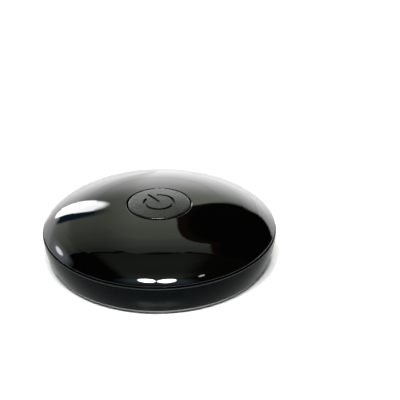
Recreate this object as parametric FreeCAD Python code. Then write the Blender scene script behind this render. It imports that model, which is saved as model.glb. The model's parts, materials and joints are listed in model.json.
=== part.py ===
"""Round Bluetooth tracker tag: a glossy domed cover with a central push button, held by three screws to a
shallow lower shell that carries a circuit board, a buzzer and a coin cell behind a twist-off battery door.

Millimetres. +Z is up, the origin is the centre of the resting face, and +Y is the way the button's symbol
points.
Each function makes one sub-part. NODES at the end names them, and each is written to parts/NODE.step.
"""

import FreeCAD, Part
import math
import os

V = FreeCAD.Vector
UP = V(0, 0, 1)
ORIGIN = V(0, 0, 0)
BEYOND = 30.0  # further than any part reaches, for cutting tools that run right through

# Outer form
RIM_R = 20.0  # largest radius, at the parting line
SEAM_Z = 5.9  # height of the parting line
COVER_TOP_Z = 10.55  # where the crown would peak if the button hole were filled
COVER_ARCS = ((70.0, 11.0), (36.0, 14.5), (18.0, 17.0))  # from the peak out: radius of the arc, where it ends
COVER_WALL = 1.0
BASE_Z = 0.25  # underside of the lower shell; the foot ring stands this proud of it
FLOOR_Z = BASE_Z + 1.2  # inside face of the lower shell's floor
SIDE_R = 12.0  # radius of the lower shell's side, which is upright at the parting line
SIDE_FOOT_DROP = 0.5  # how far below the cover's tongue the side's inner face starts to slope in
BASE_EDGE_R = 0.5  # rounding where the side meets the underside
SIDE_INNER_R = 18.4  # inside radius of the lower shell at the parting line
SIDE_INNER_FOOT_R = 17.7  # inside radius of the lower shell at its floor
SEAM_GAP = 0.2  # open shadow gap at the parting line
SEAM_GAP_DEPTH = 0.7
SEAM_EDGE = 0.14  # chamfer and rounding along the two sides of the gap

# Inner rim of the cover, and the gasket that it presses against the side
TONGUE_INNER_R = 16.9
TONGUE_OUTER_R = 17.7
TONGUE_FOOT_R = 18.25
TONGUE_BOTTOM_Z = 4.5
TONGUE_FOOT_THICK = 0.35
GASKET_R = 0.3
GASKET_CLEARANCE = 0.05

# Circuit board
BOARD_R = 16.6
BOARD_BOTTOM_Z = 5.2
BOARD_Z = BOARD_BOTTOM_Z + 0.8  # upper face
BOARD_GAP = 0.2  # between the board and the screw bosses
SOLDER = 0.02  # gap between the board and what is soldered under it

# Push switch, diaphragm and button, stacked on the board's upper face
SWITCH_HALF = 2.25
SWITCH_WELL_R = 1.75
SWITCH_WELL_Z = BOARD_Z + 0.25
SWITCH_BODY_Z = BOARD_Z + 1.05
SWITCH_LID_Z = BOARD_Z + 1.07
SWITCH_TOP_Z = BOARD_Z + 1.27
SWITCH_CHEEK_THICK = 0.15
SWITCH_CHEEK_HALF = 0.8
SWITCH_CHEEK_Z = BOARD_Z + 0.4
SWITCH_FOOT = (0.69, 0.6, 0.15)
SWITCH_FOOT_Y = (-1.6, 1.6)
SWITCH_FOOT_GAP = 0.01
SNAP_R = 1.6
SNAP_RISE = 0.42
SNAP_THICK = 0.06
SNAP_FOOT_Z = SWITCH_WELL_Z + 0.05
PLUNGER_Z = BOARD_Z + 0.76
PLUNGER_FLANGE_R = 1.5
PLUNGER_FLANGE_THICK = 0.26
PLUNGER_R = 1.05
PLUNGER_CLEARANCE = 0.1
PLUNGER_TOP_Z = BOARD_Z + 1.6
FLANGE_R = 6.5
FLANGE_Z = PLUNGER_TOP_Z + 0.75
FLANGE_THICK = 0.45
PAD_Z = FLANGE_Z + FLANGE_THICK + 0.05  # flat underside of the cover around the button hole
PAD_R = 9.0
BEAD_INNER_R = 7.2
BEAD_OUTER_R = 8.2
BEAD_THICK = 1.0
BEAD_SLOPE = 0.1
WEB_THICK = 0.3
NUB_R = 1.05
NUB_ROOT_R = 1.3
BUTTON_R = 5.26
BUTTON_HOLE_R = 5.52
BUTTON_PROUD = 0.1  # the cap's edge above the edge of its hole
BUTTON_CROWN_R = 40.0
BUTTON_EDGE_R = 0.22
BUTTON_HOLLOW_R = 4.4
BUTTON_HOLLOW_Z = 9.5
BUTTON_HUB_R = 1.6
KEY_ANGLES = (0.0, 180.0)  # keys that stop the cap from turning
KEY_HALF = 0.5
KEY_INNER_R = 5.9
KEY_OUTER_R = 6.9
KEY_CLEARANCE = 0.15
KEY_LIFT = 0.05  # gap under the keys, above the diaphragm

# Standby symbol sunk in the button: an open ring and a bar
SYMBOL_R = 2.5
SYMBOL_STROKE = 0.5
SYMBOL_DEPTH = 0.3
SYMBOL_GAP_DEG = 60.0
SYMBOL_BAR = (0.15, 3.15)

# Ring that clamps the diaphragm's bead, on three stakes of the cover
RETAINER_INNER_R = 6.85
RETAINER_OUTER_R = 8.8
RETAINER_TOP_Z = PAD_Z - BEAD_THICK - 0.02
RETAINER_THICK = 0.58
STAKE_ANGLES = (45.0, 165.0, 285.0)
STAKE_CIRCLE_R = 9.7
STAKE_R = 0.5
STAKE_PROUD = 0.2
STAKE_CLEARANCE = 0.05
EAR_R = 1.1

# Coin cell, 20 mm across and 3.2 mm thick
CELL_R = 10.0
CELL_BOTTOM_Z = 1.3
CELL_TOP_Z = CELL_BOTTOM_Z + 3.2
CELL_SKIN = 0.25
CELL_CAP_R = 9.0
CELL_MOUTH_R = 9.3
CELL_LIP_DROP = 0.2  # the can's crimped lip below the cap's flat top
CELL_EDGE_R = 0.3
CELL_FIT = 0.02
CELL_SEAL_REACH = 0.5  # how far the seal reaches under the cap
CELL_SEAL_THICK = 0.1
CELL_SEAL_RECESS = 0.05
CELL_PELLET_GAP = 0.15
CELL_DISC_INSET = 0.6

# Battery door: a disc whose three lugs turn under a ledge of the lower shell
DOOR_R = 13.2
DOOR_EDGE_R = 0.1
NECK_FOOT = 0.8  # how deep in the disc the neck starts
LUG_INSET = 0.2
DOOR_BORE_R = DOOR_R + 0.15
DOOR_TOP_Z = BASE_Z + 1.0
NECK_INNER_R = 10.5
NECK_R = 11.3
NECK_TOP_Z = 2.4
LEDGE_BORE_R = NECK_R + 0.15
LEDGE_R = 13.9
LEDGE_BOTTOM_Z = DOOR_TOP_Z + 0.05
LEDGE_TOP_Z = 1.8
LUG_R = 12.7
LUG_DEG = 20.0
LUG_CLEARANCE = 0.05
LUG_ANGLES = (60.0, 180.0, 300.0)
ENTRY_DEG = 27.0
ENTRY_R = LUG_R + 0.2
DOOR_TURN_DEG = 30.0
STOP_DEG = 3.0
STOP_INNER_R = LEDGE_BORE_R + 0.15
STOP_CLEARANCE_DEG = 1.1
O_RING_R = 0.24
O_RING_CENTRE_R = 13.02
O_RING_Z = BASE_Z + 0.525
O_RING_GROOVE_R = 12.72
O_RING_GROOVE_HALF = 0.275
COIN_SLOT_HALF = 4.2
COIN_SLOT_WIDTH = 1.6
COIN_SLOT_DEPTH = 0.5
POINTER_DEG = 270.0
POINTER_R = (11.9, 12.75)
POINTER_HALF = 0.55
MARK_R = DOOR_BORE_R + 1.1
MARK_DEPTH = 0.15
LOCKED_MARK_R = 0.4
FREE_MARK_R = (0.25, 0.5)

# Screws and posts
SCREW_CIRCLE_R = 15.2
SCREW_ANGLES = (90.0, 210.0, 330.0)
POST_R = 1.95
LOWER_POST_TOP_Z = 3.0
BOSS_BOTTOM_Z = LOWER_POST_TOP_Z + 0.05
SCREW_R = 0.78
SCREW_ROOT_R = 0.58
SCREW_PITCH = 0.5
SCREW_POINT = 0.4  # length of the tapered point
SCREW_PLAIN = 1.2  # length without thread
RIDGE_RISE = 0.2
SCREW_HEAD_EDGE = 0.25
PILOT_R = 0.8
PILOT_TOP_Z = 7.0
SCREW_CLEAR_R = 0.93
COUNTERBORE_R = 1.5
SEAT_Z = BASE_Z + 1.1  # where the screw head bears
SCREW_HEAD_R = 1.35
SCREW_HEAD_THICK = 0.8
SCREW_LENGTH = 5.0
RECESS_HALF = 0.75
RECESS_WIDTH = 0.34
RECESS_DEPTH = 0.42

# Cradle around the cell; its arms stand on rests of the lower shell and carry the board
CRADLE_INNER_R = 10.2
CRADLE_OUTER_R = 11.2
CRADLE_BOTTOM_Z = NECK_TOP_Z + 0.15
ARM_ANGLES = (30.0, 150.0, 270.0)
ARM_BOTTOM_Z = 4.35
ARM_R = (10.7, 16.0)
ARM_HALF = 1.5
REST_R = (13.6, 15.8)
REST_HALF = 1.3
PIN_CIRCLE_R = 14.8
PIN_R = 0.6
PIN_CLEARANCE = 0.05
PIN_PROUD = 0.1

# Contacts under the board
LEAF_ANGLES = (120.0, 240.0)
LEAF_WIDTH = 2.4
LEAF_TAIL_R = (13.6, 11.75)  # the soldered tail, from its end to its bend
LEAF_KNEE = (11.5, 4.0)
LEAF_TOUCH_Z = 3.6
LEAF_LEAD_IN = 0.4
LEAF_THICK = 0.15
LEAF_WINDOW_HALF = 1.6
LEAF_WINDOW_Z = (2.95, 4.25)
SPRING_WIDTH = 1.2
SPRING_HUB_HALF = 1.5
SPRING_ROOT_R = (1.2, 2.2)  # the flat start of each arm
SPRING_TOUCH_R = 5.2
SPRING_TIP_R = 6.0
SPRING_TIP_LIFT = 0.1
SPRING_ANGLES = (45, 135, 225, 315)
SPRING_THICK = 0.12

# Buzzer under the board, sounding through the floor
BUZZER_X = 13.9
BUZZER_HALF = 2.5
BUZZER_TOP_Z = BOARD_BOTTOM_Z - SOLDER
BUZZER_BOTTOM_Z = BOARD_BOTTOM_Z - 2.3
BUZZER_WELL_R = 2.1
PORT_X = 15.2
PORT_HOLE_R = 0.25
PORT_CIRCLE_R = 0.55
PORT_OUTER_HOLES = 6
PORT_OUTER_HOLE_R = 0.2

BUZZER_CORNER_R = 0.3
BUZZER_FLOOR_THICK = 0.4
BUZZER_ROOF_THICK = 0.3
BUZZER_PORT_R = 0.5
BUZZER_CLEARANCE = 0.05
BUZZER_DISC_Z = (0.62, 0.68)  # this and the next three are heights above the buzzer's underside
BUZZER_MAGNET_Z = (0.75, 1.9)
BUZZER_COIL_Z = (0.9, 1.9)
BUZZER_CORE_Z = (0.8, 1.95)
BUZZER_MAGNET_INNER_R = 1.55
BUZZER_COIL_R = (0.5, 1.4)
BUZZER_CORE_R = 0.45
MESH_R = 1.2
MESH_THICK = 0.1
PORT_SEAL_R = (0.85, 1.25)

# Parts soldered on the board: (length, width, height), and places as (x, y) or (x, y, turn)
SOC = (6.0, 6.0, 0.85)
SOC_X = -9.0
SOC_DOT_R = 0.3
SOC_DOT_DEPTH = 0.05
SOC_DOT_INSET = 0.7
MAIN_CRYSTAL = (2.5, 2.0, 0.6)
MAIN_CRYSTAL_AT = (-8.5, 5.3)
SLEEP_CRYSTAL = (3.2, 1.5, 0.75)
SLEEP_CRYSTAL_AT = (-8.5, -5.2)
ANTENNA = (1.6, 3.2, 0.55)
ANTENNA_AT = (-15.0, 0.0)
SMALL_INDUCTOR = (1.0, 0.5, 0.45)
INDUCTORS_AT = ((-13.2, -1.1), (-13.2, 0.0), (-13.2, 1.1))
SMALL_CAPACITOR = (1.0, 0.5, 0.5)
CAPACITORS_AT = (
    (-12.9, 4.2, 60),
    (-11.6, 5.9, 0),
    (-5.0, 4.0, 90),
    (-4.9, 5.7, 90),
    (-5.1, -4.1, 90),
    (-12.9, -4.2, -60),
)
SMALL_RESISTOR = (1.0, 0.5, 0.35)
RESISTORS_AT = ((4.6, -6.0, 90), (6.0, -6.0, 90), (7.4, -6.0, 90), (8.8, -6.0, 90))
BULK_CAPACITOR = (2.8, 3.5, 1.2)
BULK_CAPACITOR_AT = (12.6, 0.6)
TRANSISTOR = (2.9, 1.3, 0.95)
TRANSISTOR_STAND = 0.1
TRANSISTOR_AT = (8.9, -2.9, 90)
TRANSISTOR_LEG = (0.4, 0.6, 0.35)
TRANSISTOR_LEGS_AT = ((-0.95, -0.9), (0.95, -0.9), (0.0, 0.9))
DIODE = (1.7, 1.25, 0.95)
DIODE_TABS = (2.6, 0.4, 0.25)
DIODE_AT = (8.9, 1.0, 90)
PAD_PROBE_R = 0.5
PAD_PROBE_THICK = 0.05
PAD_PROBES_AT = ((-3.2, 9.8), (-1.6, 9.8), (0.0, 9.8), (1.6, 9.8), (3.2, 9.8))
CHIP_BEVEL = 0.08

# Foot ring, pressed into a groove of the underside
FOOT_INNER_R = 17.0
FOOT_OUTER_R = 17.9
FOOT_GROOVE_Z = 0.6
FOOT_FIT = 0.03
FOOT_EDGE_R = 0.1


# ---------------------------------------------------------------- helpers


def cylinder(radius, z0, z1, x=0.0, y=0.0):
    return Part.makeCylinder(radius, z1 - z0, V(x, y, z0), UP)


def ring(inner, outer, z0, z1, x=0.0, y=0.0):
    return cylinder(outer, z0, z1, x, y).cut(cylinder(inner, z0, z1, x, y))


def block(x0, x1, y0, y1, z0, z1):
    return Part.makeBox(x1 - x0, y1 - y0, z1 - z0, V(x0, y0, z0))


def turned(shape, degrees):
    """A copy of shape, turned about the Z axis."""
    return shape.rotated(ORIGIN, UP, degrees)


def around(shape, angles):
    """One copy of shape at each angle about the Z axis."""
    return [turned(shape, angle) for angle in angles]


def fused(shapes):
    return shapes[0].multiFuse(shapes[1:]).removeSplitter()


def group(shapes):
    """Separate solids that share one node, or one set of cutting tools."""
    return Part.makeCompound(shapes)


def line(a, b):
    """A straight edge of a profile. Its ends are (radius, height) pairs."""
    return Part.LineSegment(V(a[0], 0, a[1]), V(b[0], 0, b[1])).toShape()


def arc(centre, radius, start, end):
    """A round edge of a profile, between two angles measured up from the outward direction."""
    points = []
    for angle in (start, (start + end) / 2, end):
        points.append(V(centre[0] + radius * math.cos(angle), 0, centre[1] + radius * math.sin(angle)))
    return Part.Arc(*points).toShape()


def revolved(edges):
    return Part.Face(Part.Wire(edges)).revolve(ORIGIN, UP, 360)


def revolved_polygon(points):
    return revolved([line(a, b) for a, b in zip(points, points[1:] + points[:1])])


def sector(inner, outer, z0, z1, middle_deg, width_deg):
    """A piece of a ring, width_deg wide about middle_deg."""
    start = math.radians(middle_deg - width_deg / 2)
    end = math.radians(middle_deg + width_deg / 2)
    middle = (start + end) / 2

    def at(radius, angle):
        return V(radius * math.cos(angle), radius * math.sin(angle), z0)

    edges = [
        Part.LineSegment(at(inner, start), at(outer, start)).toShape(),
        Part.Arc(at(outer, start), at(outer, middle), at(outer, end)).toShape(),
        Part.LineSegment(at(outer, end), at(inner, end)).toShape(),
        Part.Arc(at(inner, end), at(inner, middle), at(inner, start)).toShape(),
    ]
    return Part.Face(Part.Wire(edges)).extrude(V(0, 0, z1 - z0))


def slotted(half_length, width, z0, z1):
    """A bar along X with round ends."""
    bar = block(-half_length, half_length, -width / 2, width / 2, z0, z1)
    return fused([bar] + [cylinder(width / 2, z0, z1, x) for x in (-half_length, half_length)])


def strip(points, thick, width):
    """A bent metal strip along Y = 0. The (x, z) points are the corners of its right-hand face."""
    far_face = []
    for i, point in enumerate(points):
        normals = []
        for a, b in ((i - 1, i), (i, i + 1)):
            if 0 <= a and b < len(points):
                dx, dz = points[b][0] - points[a][0], points[b][1] - points[a][1]
                length = math.hypot(dx, dz)
                normals.append((-dz / length, dx / length))
        nx = sum(n[0] for n in normals)
        nz = sum(n[1] for n in normals)
        scale = len(normals) * thick / (nx * nx + nz * nz)
        far_face.append((point[0] + nx * scale, point[1] + nz * scale))
    corners = [V(x, -width / 2, z) for x, z in points + far_face[::-1]]
    return Part.Face(Part.makePolygon(corners + corners[:1])).extrude(V(0, width, 0))


def circle_at(radius, z):
    """A test for a whole circular edge about the Z axis."""
    slack = 0.02

    def wanted(edge):
        box = edge.BoundBox
        level = box.ZLength < slack and abs(box.ZMin - z) < slack
        return level and abs(box.XMax - radius) < slack and abs(box.XMin + radius) < slack

    return wanted


def top_edge(z):
    """A test for an edge that lies at height z."""
    return lambda edge: abs(edge.BoundBox.ZMin - z) < 1e-6


def rounded(shape, radius, wanted):
    return shape.makeFillet(radius, [edge for edge in shape.Edges if wanted(edge)])


def chamfered(shape, size, wanted):
    return shape.makeChamfer(size, [edge for edge in shape.Edges if wanted(edge)])


# ---------------------------------------------------------------- cover


def cover_height(r):
    """Height of the cover's outer surface at radius r, on the crown."""
    crown = COVER_ARCS[0][0]
    return COVER_TOP_Z - crown + math.sqrt(crown**2 - r**2)


def next_arc(start, slope, radius):
    """The centre of an arc that leaves the point start at this slope below the horizontal."""
    return start[0] - radius * math.sin(slope), start[1] - radius * math.cos(slope)


def cover_arcs():
    """The arcs of the cover's profile from the peak to the rim, each tangent to the one before. Each is its
    centre, its radius, and the slopes at which it starts and ends."""
    arcs = []
    point = (0, COVER_TOP_Z)
    slope = 0
    for radius, end_r in COVER_ARCS:
        centre = next_arc(point, slope, radius)
        end = math.asin((end_r - centre[0]) / radius)
        arcs.append((centre, radius, slope, end))
        point = (end_r, centre[1] + radius * math.cos(end))
        slope = end
    out, down = RIM_R - point[0], point[1] - SEAM_Z
    half_turn = math.atan2(down, out) - slope
    radius = math.hypot(out, down) / (2 * math.sin(half_turn))
    arcs.append((next_arc(point, slope, radius), radius, slope, slope + 2 * half_turn))
    return arcs


def dome(inset=0.0):
    """The solid between the parting plane and the cover's outer surface, moved in by inset."""
    outline = cover_arcs()
    (rim_centre_r, rim_centre_z), rim_radius, rim_slope, _ = outline.pop()
    radius = rim_radius - inset
    foot = math.acos((SEAM_Z - rim_centre_z) / radius)
    outline.append(((rim_centre_r, rim_centre_z), rim_radius, rim_slope, foot))
    centre = (0, SEAM_Z)
    edges = [line(centre, (rim_centre_r + radius * math.sin(foot), SEAM_Z))]
    for arc_centre, arc_radius, start, end in reversed(outline):
        edges.append(arc(arc_centre, arc_radius - inset, math.pi / 2 - end, math.pi / 2 - start))
    edges.append(line((0, COVER_TOP_Z - inset), centre))
    return revolved(edges)


def cover_insides():
    """What stands inside the cover, before it is trimmed: rim, pad, screw bosses, stakes and keys."""
    foot_top = TONGUE_BOTTOM_Z + TONGUE_FOOT_THICK
    tongue = ring(TONGUE_INNER_R, TONGUE_OUTER_R, TONGUE_BOTTOM_Z, COVER_TOP_Z)
    foot = ring(TONGUE_INNER_R, TONGUE_FOOT_R, TONGUE_BOTTOM_Z, foot_top)
    pad = ring(BUTTON_HOLE_R, PAD_R, PAD_Z, COVER_TOP_Z)
    boss = cylinder(POST_R, BOSS_BOTTOM_Z, COVER_TOP_Z, SCREW_CIRCLE_R)
    stake_z = RETAINER_TOP_Z - RETAINER_THICK - STAKE_PROUD
    stake = cylinder(STAKE_R, stake_z, COVER_TOP_Z, STAKE_CIRCLE_R)
    key = block(KEY_INNER_R, KEY_OUTER_R, -KEY_HALF, KEY_HALF, FLANGE_Z + KEY_LIFT, COVER_TOP_Z)
    pieces = [tongue, foot, pad, *around(boss, SCREW_ANGLES), *around(stake, STAKE_ANGLES)]
    return fused(pieces + around(key, KEY_ANGLES))


def top_cover():
    shell = rounded(dome().cut(dome(COVER_WALL)), SEAM_EDGE, circle_at(RIM_R, SEAM_Z))
    mid_wall = dome(COVER_WALL / 2).fuse(cylinder(RIM_R, 0, SEAM_Z))
    cover = shell.fuse(cover_insides().common(mid_wall))
    pilot = cylinder(PILOT_R, 0, PILOT_TOP_Z, SCREW_CIRCLE_R)
    hole = cylinder(BUTTON_HOLE_R, SEAM_Z, BEYOND)
    cover = cover.cut(group([hole, *around(pilot, SCREW_ANGLES)])).removeSplitter()
    return rounded(cover, SEAM_EDGE, circle_at(BUTTON_HOLE_R, cover_height(BUTTON_HOLE_R)))


# ---------------------------------------------------------------- lower shell


def tray():
    """The lower shell as a plain tray: side, rounded base edge, floor and stepped rim."""
    side = (RIM_R - SIDE_R, SEAM_Z)
    edge_z = BASE_Z + BASE_EDGE_R
    reach = SIDE_R - BASE_EDGE_R
    low = -math.asin((SEAM_Z - edge_z) / reach)
    edge_r = side[0] + reach * math.cos(low)
    gap_z = SEAM_Z - SEAM_GAP
    high = -math.asin(SEAM_GAP / SIDE_R)
    rim = (side[0] + SIDE_R * math.cos(high), gap_z)
    land_r = RIM_R - SEAM_GAP_DEPTH
    inside = [
        (edge_r, BASE_Z),
        (0, BASE_Z),
        (0, FLOOR_Z),
        (SIDE_INNER_FOOT_R, FLOOR_Z),
        (SIDE_INNER_R, TONGUE_BOTTOM_Z - SIDE_FOOT_DROP),
        (SIDE_INNER_R, SEAM_Z),
        (land_r, SEAM_Z),
        (land_r, gap_z),
        rim,
    ]
    body = revolved(
        [
            arc(side, SIDE_R, high, low),
            arc((edge_r, edge_z), BASE_EDGE_R, low, -math.pi / 2),
            *[line(a, b) for a, b in zip(inside, inside[1:])],
        ]
    )
    return chamfered(body, SEAM_EDGE, circle_at(rim[0], gap_z))


def port_holes():
    """The buzzer's sound port through the floor: one hole inside a circle of smaller ones."""
    holes = [cylinder(PORT_HOLE_R, 0, FLOOR_Z, PORT_X)]
    for i in range(PORT_OUTER_HOLES):
        angle = 2 * math.pi * i / PORT_OUTER_HOLES
        x, y = PORT_X + PORT_CIRCLE_R * math.cos(angle), PORT_CIRCLE_R * math.sin(angle)
        holes.append(cylinder(PORT_OUTER_HOLE_R, 0, FLOOR_Z, x, y))
    return holes


def door_marks():
    """A filled dot where the door's pointer stands when locked, and an open circle where it is free."""
    depth_z = BASE_Z + MARK_DEPTH
    locked = turned(cylinder(LOCKED_MARK_R, 0, depth_z, MARK_R), POINTER_DEG)
    free = turned(ring(*FREE_MARK_R, 0, depth_z, MARK_R), POINTER_DEG - DOOR_TURN_DEG)
    return [locked, free]


def lower_shell():
    ledge = cylinder(LEDGE_R, BASE_Z, LEDGE_TOP_Z)
    post = cylinder(POST_R, BASE_Z, LOWER_POST_TOP_Z, SCREW_CIRCLE_R)
    rest = block(*REST_R, -REST_HALF, REST_HALF, BASE_Z, ARM_BOTTOM_Z)
    stop_deg = LUG_DEG / 2 + STOP_CLEARANCE_DEG + STOP_DEG / 2
    stop = sector(STOP_INNER_R, ENTRY_R, BASE_Z, NECK_TOP_Z, stop_deg, STOP_DEG)
    added = around(post, SCREW_ANGLES) + around(rest, ARM_ANGLES) + around(stop, LUG_ANGLES)
    body = fused([tray(), ledge, *added])
    entry = sector(NECK_R, ENTRY_R, 0, BEYOND, -DOOR_TURN_DEG, ENTRY_DEG)
    counterbore = cylinder(COUNTERBORE_R, 0, SEAT_Z, SCREW_CIRCLE_R)
    screw_hole = cylinder(SCREW_CLEAR_R, 0, BEYOND, SCREW_CIRCLE_R)
    tools = [
        cylinder(DOOR_BORE_R, 0, LEDGE_BOTTOM_Z),
        cylinder(LEDGE_BORE_R, 0, BEYOND),
        ring(FOOT_INNER_R, FOOT_OUTER_R, 0, FOOT_GROOVE_Z),
        *port_holes(),
        *door_marks(),
        *around(entry, LUG_ANGLES),
        *around(counterbore, SCREW_ANGLES),
        *around(screw_hole, SCREW_ANGLES),
    ]
    return body.cut(group(tools)).removeSplitter()


def seam_gasket():
    z = TONGUE_BOTTOM_Z + TONGUE_FOOT_THICK + GASKET_R + GASKET_CLEARANCE
    return Part.makeTorus(SIDE_INNER_R - GASKET_R - GASKET_CLEARANCE, GASKET_R, V(0, 0, z), UP)


def foot_ring():
    inner, outer = FOOT_INNER_R + FOOT_FIT, FOOT_OUTER_R - FOOT_FIT
    foot = ring(inner, outer, 0, FOOT_GROOVE_Z - FOOT_FIT)
    on_inner, on_outer = circle_at(inner, 0), circle_at(outer, 0)
    return rounded(foot, FOOT_EDGE_R, lambda edge: on_inner(edge) or on_outer(edge))


# ---------------------------------------------------------------- button


def symbol(z0, z1):
    """The standby symbol as an upright solid."""
    half = SYMBOL_STROKE / 2
    pieces = [sector(SYMBOL_R - half, SYMBOL_R + half, z0, z1, 270.0, 360.0 - SYMBOL_GAP_DEG)]
    for side in (-1, 1):
        angle = math.radians(90 + side * SYMBOL_GAP_DEG / 2)
        pieces.append(cylinder(half, z0, z1, SYMBOL_R * math.cos(angle), SYMBOL_R * math.sin(angle)))
    pieces.append(block(-half, half, *SYMBOL_BAR, z0, z1))
    pieces += [cylinder(half, z0, z1, 0, y) for y in SYMBOL_BAR]
    return fused(pieces)


def button_cap():
    flange_top = FLANGE_Z + FLANGE_THICK
    edge_z = cover_height(BUTTON_HOLE_R) + BUTTON_PROUD
    centre_z = edge_z - math.sqrt(BUTTON_CROWN_R**2 - BUTTON_R**2)
    head = revolved(
        [
            line((0, flange_top), (0, centre_z + BUTTON_CROWN_R)),
            arc((0, centre_z), BUTTON_CROWN_R, math.pi / 2, math.acos(BUTTON_R / BUTTON_CROWN_R)),
            line((BUTTON_R, edge_z), (BUTTON_R, flange_top)),
            line((BUTTON_R, flange_top), (0, flange_top)),
        ]
    )
    head = rounded(head, BUTTON_EDGE_R, circle_at(BUTTON_R, edge_z))
    cap = head.fuse(cylinder(FLANGE_R, FLANGE_Z, flange_top))
    half = KEY_HALF + KEY_CLEARANCE
    key_slot = block(KEY_INNER_R - KEY_CLEARANCE, BEYOND, -half, half, FLANGE_Z, flange_top)
    hollow = ring(BUTTON_HUB_R, BUTTON_HOLLOW_R, FLANGE_Z, BUTTON_HOLLOW_Z)
    symbol_floor = Part.makeSphere(BUTTON_CROWN_R - SYMBOL_DEPTH, V(0, 0, centre_z))
    sunk = symbol(BUTTON_HOLLOW_Z, COVER_TOP_Z + 1).cut(symbol_floor)
    return cap.cut(group([hollow, sunk, *around(key_slot, KEY_ANGLES)])).removeSplitter()


def button_diaphragm():
    """Silicone: a clamped bead, a thin web and a nub that presses the switch."""
    web_z = FLANGE_Z - WEB_THICK
    bead_z = PAD_Z - BEAD_THICK
    return revolved_polygon(
        [
            (0, FLANGE_Z),
            (BEAD_INNER_R, FLANGE_Z),
            (BEAD_INNER_R, PAD_Z),
            (BEAD_OUTER_R, PAD_Z),
            (BEAD_OUTER_R, bead_z),
            (BEAD_INNER_R, bead_z),
            (BEAD_INNER_R - BEAD_SLOPE, web_z),
            (NUB_ROOT_R, web_z),
            (NUB_R, PLUNGER_TOP_Z),
            (0, PLUNGER_TOP_Z),
        ]
    )


def diaphragm_retainer():
    z0, z1 = RETAINER_TOP_Z - RETAINER_THICK, RETAINER_TOP_Z
    tab = block(BEAD_OUTER_R, STAKE_CIRCLE_R, -EAR_R, EAR_R, z0, z1)
    tip = cylinder(EAR_R, z0, z1, STAKE_CIRCLE_R)
    hole = cylinder(STAKE_R + STAKE_CLEARANCE, z0, z1, STAKE_CIRCLE_R)
    ears = around(tab, STAKE_ANGLES) + around(tip, STAKE_ANGLES)
    clamp = ring(RETAINER_INNER_R, RETAINER_OUTER_R, z0, z1)
    return fused([clamp, *ears]).cut(group(around(hole, STAKE_ANGLES)))


# ---------------------------------------------------------------- switch


def tact_switch_base():
    body = block(-SWITCH_HALF, SWITCH_HALF, -SWITCH_HALF, SWITCH_HALF, BOARD_Z, SWITCH_BODY_Z)
    return body.cut(cylinder(SWITCH_WELL_R, SWITCH_WELL_Z, SWITCH_TOP_Z))


def snap_dome():
    """A shallow sprung disc of constant thickness under the plunger."""
    outer = (SNAP_R**2 + SNAP_RISE**2) / (2 * SNAP_RISE)
    inner = outer - SNAP_THICK
    centre_z = SNAP_FOOT_Z + SNAP_RISE - outer
    edge = math.acos(SNAP_R / outer)
    edge_z = centre_z + outer * math.sin(edge)
    inner_edge = math.acos((SNAP_R - SNAP_THICK) / inner)
    inner_point = (SNAP_R - SNAP_THICK, centre_z + inner * math.sin(inner_edge))
    return revolved(
        [
            arc((0, centre_z), outer, math.pi / 2, edge),
            line((SNAP_R, edge_z), inner_point),
            arc((0, centre_z), inner, inner_edge, math.pi / 2),
            line((0, centre_z + inner), (0, centre_z + outer)),
        ]
    )


def switch_plunger():
    flange = cylinder(PLUNGER_FLANGE_R, PLUNGER_Z, PLUNGER_Z + PLUNGER_FLANGE_THICK)
    return fused([flange, cylinder(PLUNGER_R, PLUNGER_Z, PLUNGER_TOP_Z)])


def tact_switch_cover():
    """A plate over the switch with a cheek down each side."""
    inside = block(-SWITCH_HALF, SWITCH_HALF, -SWITCH_HALF, SWITCH_HALF, BOARD_Z, SWITCH_LID_Z)
    plate = block(-SWITCH_HALF, SWITCH_HALF, -SWITCH_HALF, SWITCH_HALF, SWITCH_LID_Z, SWITCH_TOP_Z)
    reach = SWITCH_HALF + SWITCH_CHEEK_THICK
    strap = block(-reach, reach, -SWITCH_CHEEK_HALF, SWITCH_CHEEK_HALF, SWITCH_CHEEK_Z, SWITCH_TOP_Z)
    hole = cylinder(PLUNGER_R + PLUNGER_CLEARANCE, BOARD_Z, BEYOND)
    return fused([plate, strap]).cut(group([inside, hole]))


def tact_switch_terminals():
    """Four solder feet at the switch's corners."""
    x = SWITCH_HALF + SWITCH_FOOT_GAP + SWITCH_FOOT[0] / 2
    return group([chip(SWITCH_FOOT, side * x, y) for side in (-1, 1) for y in SWITCH_FOOT_Y])


# ---------------------------------------------------------------- board


def pcb():
    """The board, notched round the screw bosses and drilled for the cradle's pins."""
    notch_r = POST_R + BOARD_GAP
    notch = cylinder(notch_r, 0, BEYOND, SCREW_CIRCLE_R)
    mouth = block(SCREW_CIRCLE_R, BEYOND, -notch_r, notch_r, 0, BEYOND)
    pin_hole = cylinder(PIN_R + PIN_CLEARANCE, 0, BEYOND, PIN_CIRCLE_R)
    notches = around(notch.fuse(mouth), SCREW_ANGLES)
    return cylinder(BOARD_R, BOARD_BOTTOM_Z, BOARD_Z).cut(group(notches + around(pin_hole, ARM_ANGLES)))


def placed(part, x, y, turn=0.0):
    """A part made about the Z axis, turned and moved to its place on the board."""
    return turned(part, turn).translated(V(x, y, 0))


def chip(size, x, y, turn=0.0, bevel=0.0):
    """A rectangular part of size (length, width, height) that stands on the board at x, y."""
    length, width, height = size
    part = block(-length / 2, length / 2, -width / 2, width / 2, BOARD_Z, BOARD_Z + height)
    if bevel:
        part = chamfered(part, bevel, top_edge(BOARD_Z + height))
    return placed(part, x, y, turn)


def ble_soc():
    corner = SOC[0] / 2 - SOC_DOT_INSET
    dot = cylinder(SOC_DOT_R, BOARD_Z + SOC[2] - SOC_DOT_DEPTH, BEYOND, SOC_X - corner, corner)
    return chip(SOC, SOC_X, 0, bevel=CHIP_BEVEL).cut(dot)


def main_crystal():
    return chip(MAIN_CRYSTAL, *MAIN_CRYSTAL_AT, bevel=CHIP_BEVEL)


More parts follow.
